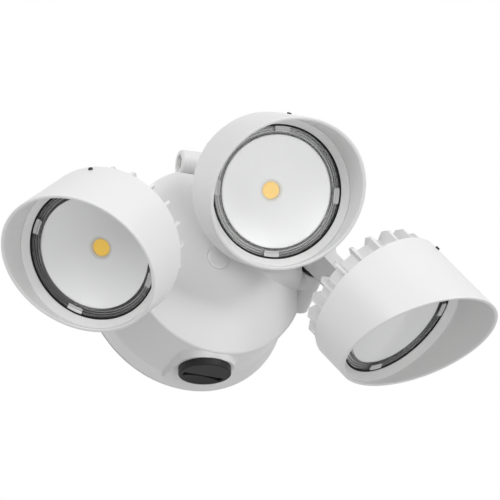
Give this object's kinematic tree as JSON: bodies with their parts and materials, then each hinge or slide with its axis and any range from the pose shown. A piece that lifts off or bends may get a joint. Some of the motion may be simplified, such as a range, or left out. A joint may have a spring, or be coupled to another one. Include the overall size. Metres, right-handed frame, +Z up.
{
  "type": "wall floodlight",
  "caption": "Round wall floodlight with adjustable hooded lamp heads on swivel knuckles, finned heat sinks and a photocell knob under the canopy.",
  "frame": {"origin": "centre of the canopy's rear face on the wall plane", "axes": "+Z up the wall, +Y into the wall, so the light looks along -Y; +X to the right seen from the front"},
  "size_m": [0.3352, 0.1691, 0.1624],
  "materials": {
    "white_paint": "satin",
    "white_plug": "satin",
    "black_plastic": "matte",
    "sensor_plastic": "gloss",
    "black_rubber": "matte",
    "foam": "matte",
    "zinc_steel": "satin",
    "black_screw": "satin",
    "green_screw": "satin",
    "driver_case": "matte",
    "board": "satin",
    "phosphor": "satin",
    "holder_plastic": "satin",
    "reflector_white": "satin",
    "lens_clear": "gloss",
    "clip_plastic": "satin"
  },
  "bodies": {
    "base": {"canopy": "white_paint", "wall_gasket": "foam", "mounting_bracket": "zinc_steel", "ground_screw": "green_screw", "canopy_screw": "zinc_steel", "canopy_plug": "white_plug", "led_driver": "driver_case", "driver_screws": "zinc_steel", "photocell_sensor": "sensor_plastic", "photocell_screws": "zinc_steel", "swivel_gasket_top": "black_rubber", "swivel_gasket_right": "black_rubber", "swivel_gasket_left": "black_rubber"},
    "photocell_knob": {"photocell_cover": "black_plastic"},
    "arm_top": {"knuckle_top": "white_paint", "lock_nut_top": "zinc_steel", "tilt_gasket_top": "black_rubber", "tilt_bolt_top": "zinc_steel", "tilt_nut_top": "zinc_steel"},
    "head_top": {"heat_sink_top": "white_paint", "led_board_top": "board", "led_chip_top": "phosphor", "led_holder_top": "holder_plastic", "reflector_top": "reflector_white", "lens_gasket_top": "black_rubber", "lens_top": "lens_clear", "lens_clips_top": "clip_plastic", "lens_bezel_top": "white_paint"},
    "visor_top": {"hood_top": "white_paint", "hood_screws_top": "black_screw"},
    "arm_right": {"knuckle_right": "white_paint", "lock_nut_right": "zinc_steel", "tilt_gasket_right": "black_rubber", "tilt_bolt_right": "zinc_steel", "tilt_nut_right": "zinc_steel"},
    "head_right": {"heat_sink_right": "white_paint", "led_board_right": "board", "led_chip_right": "phosphor", "led_holder_right": "holder_plastic", "reflector_right": "reflector_white", "lens_gasket_right": "black_rubber", "lens_right": "lens_clear", "lens_clips_right": "clip_plastic", "lens_bezel_right": "white_paint"},
    "visor_right": {"hood_right": "white_paint", "hood_screws_right": "black_screw"},
    "arm_left": {"knuckle_left": "white_paint", "lock_nut_left": "zinc_steel", "tilt_gasket_left": "black_rubber", "tilt_bolt_left": "zinc_steel", "tilt_nut_left": "zinc_steel"},
    "head_left": {"heat_sink_left": "white_paint", "led_board_left": "board", "led_chip_left": "phosphor", "led_holder_left": "holder_plastic", "reflector_left": "reflector_white", "lens_gasket_left": "black_rubber", "lens_left": "lens_clear", "lens_clips_left": "clip_plastic", "lens_bezel_left": "white_paint"},
    "visor_left": {"hood_left": "white_paint", "hood_screws_left": "black_screw"}
  },
  "joints": [
    {"name": "photocell_turn", "type": "hinge", "parent": "base", "child": "photocell_knob", "pos_m": [0, -0.0316, -0.0677], "axis": [0, 0, 1], "range_deg": [-90, 90]},
    {"name": "swivel_top", "type": "hinge", "parent": "base", "child": "arm_top", "pos_m": [0, -0.046, 0.0585], "axis": [0, 0, 1], "range_deg": [-12, 0]},
    {"name": "tilt_top", "type": "hinge", "parent": "arm_top", "child": "head_top", "pos_m": [0, -0.046, 0.0685], "axis": [0.9934, -0.1149, 0], "range_deg": [-90, 0]},
    {"name": "hood_turn_top", "type": "hinge", "parent": "head_top", "child": "visor_top", "pos_m": [0.01644, -0.1084, 0.02706], "axis": [-0.1016, -0.8779, -0.4679], "continuous": true},
    {"name": "swivel_right", "type": "hinge", "parent": "base", "child": "arm_right", "pos_m": [0.0585, -0.046, 0], "axis": [1, 0, 0], "range_deg": [-4, 40]},
    {"name": "tilt_right", "type": "hinge", "parent": "arm_right", "child": "head_right", "pos_m": [0.0685, -0.046, 0], "axis": [0, -0.866, 0.5], "range_deg": [-4, 60]},
    {"name": "hood_turn_right", "type": "hinge", "parent": "head_right", "child": "visor_right", "pos_m": [0.10641, -0.09754, -0.04227], "axis": [0.4163, -0.4546, -0.7874], "continuous": true},
    {"name": "swivel_left", "type": "hinge", "parent": "base", "child": "arm_left", "pos_m": [-0.0585, -0.046, 0], "axis": [-1, 0, 0], "range_deg": [-40, 10]},
    {"name": "tilt_left", "type": "hinge", "parent": "arm_left", "child": "head_left", "pos_m": [-0.0685, -0.046, 0], "axis": [0, -0.8111, 0.585], "range_deg": [-55, 5]},
    {"name": "hood_turn_left", "type": "hinge", "parent": "head_left", "child": "visor_left", "pos_m": [-0.10902, -0.10058, -0.0355], "axis": [-0.6481, -0.4455, -0.6177], "continuous": true}
  ]
}
